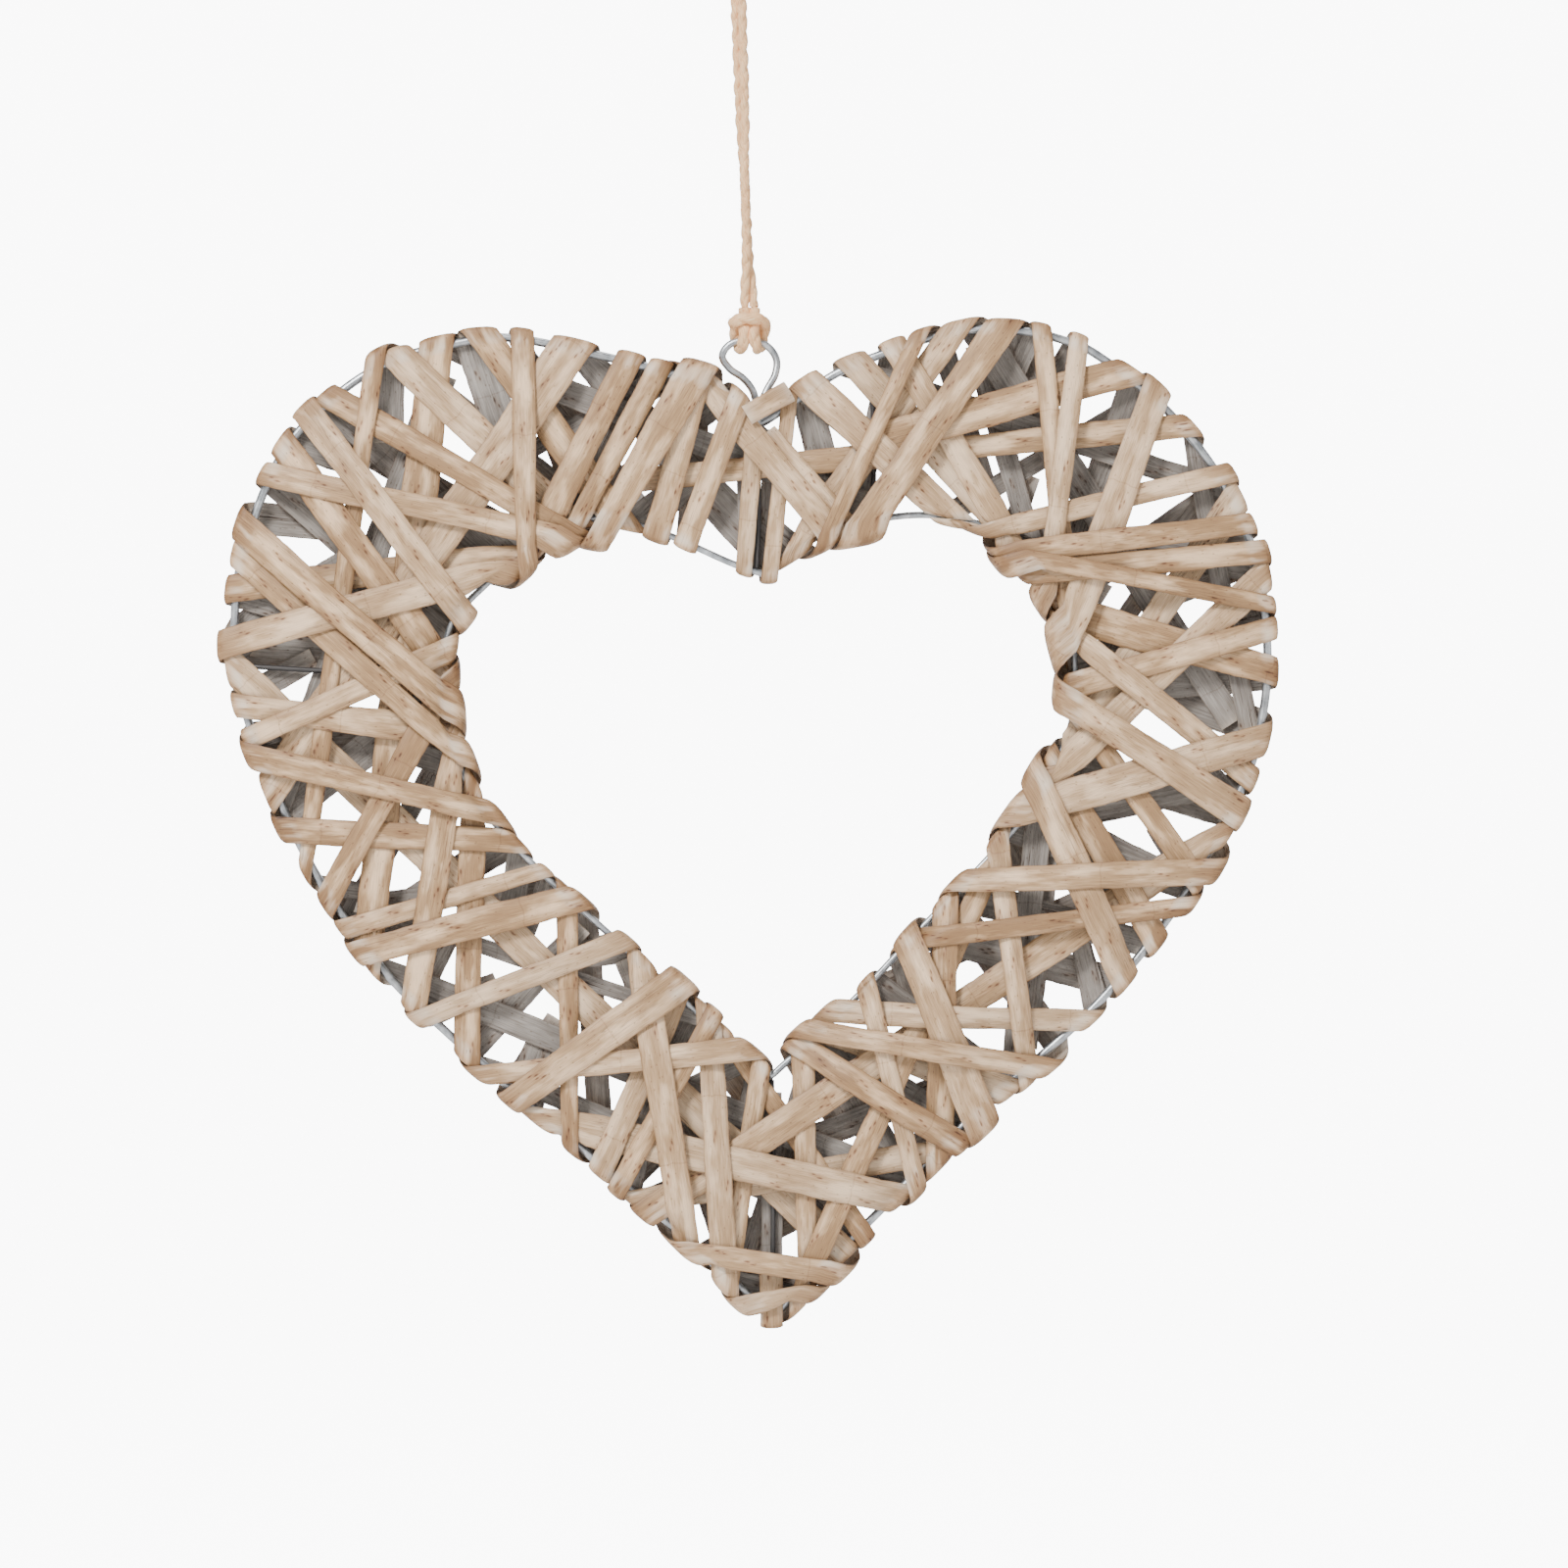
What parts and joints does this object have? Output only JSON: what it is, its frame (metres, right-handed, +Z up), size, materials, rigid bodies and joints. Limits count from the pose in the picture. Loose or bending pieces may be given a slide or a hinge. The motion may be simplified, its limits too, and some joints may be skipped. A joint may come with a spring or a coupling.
{
  "type": "wicker heart",
  "caption": "Openwork heart of split willow wound over an outer and an inner wire heart, with a wire eye and a doubled jute twine to hang it by.",
  "frame": {"origin": "inside of the twine's open loop, at its top, where the heart hangs from a peg or nail", "axes": "+Z up, the heart's face towards -Y, +X to the right as seen from its face"},
  "size_m": [0.4013, 0.0327, 0.5394],
  "materials": {
    "willow": "split, dry and matt, pale beige",
    "wire": "galvanised, satin",
    "jute": "two-ply natural twine, matt"
  },
  "bodies": {
    "root": {"willow_strip_01": "willow", "willow_strip_02": "willow", "willow_strip_03": "willow", "willow_strip_04": "willow", "willow_strip_05": "willow", "willow_strip_06": "willow", "willow_strip_07": "willow", "willow_strip_08": "willow", "willow_strip_09": "willow", "willow_strip_10": "willow", "willow_strip_11": "willow", "willow_strip_12": "willow", "willow_strip_13": "willow", "willow_strip_14": "willow", "willow_strip_15": "willow", "willow_strip_16": "willow", "willow_strip_17": "willow", "willow_strip_18": "willow", "willow_strip_19": "willow", "willow_strip_20": "willow", "willow_strip_21": "willow", "willow_strip_22": "willow", "willow_strip_23": "willow", "willow_strip_24": "willow", "willow_strip_25": "willow", "willow_strip_26": "willow", "willow_strip_27": "willow", "willow_strip_28": "willow", "willow_strip_29": "willow", "willow_strip_30": "willow", "willow_strip_31": "willow", "willow_strip_32": "willow", "willow_strip_33": "willow", "willow_strip_34": "willow", "willow_strip_35": "willow", "willow_strip_36": "willow", "willow_strip_37": "willow", "willow_strip_38": "willow", "willow_strip_39": "willow", "willow_strip_40": "willow", "outer_heart_wire": "wire", "inner_heart_wire": "wire", "cleft_tie_wire": "wire", "tip_tie_wire": "wire", "left_tie_wire": "wire", "right_tie_wire": "wire", "hanging_eye": "wire", "twine_knot": "jute", "hanging_twine": "jute"}
  },
  "joints": []
}
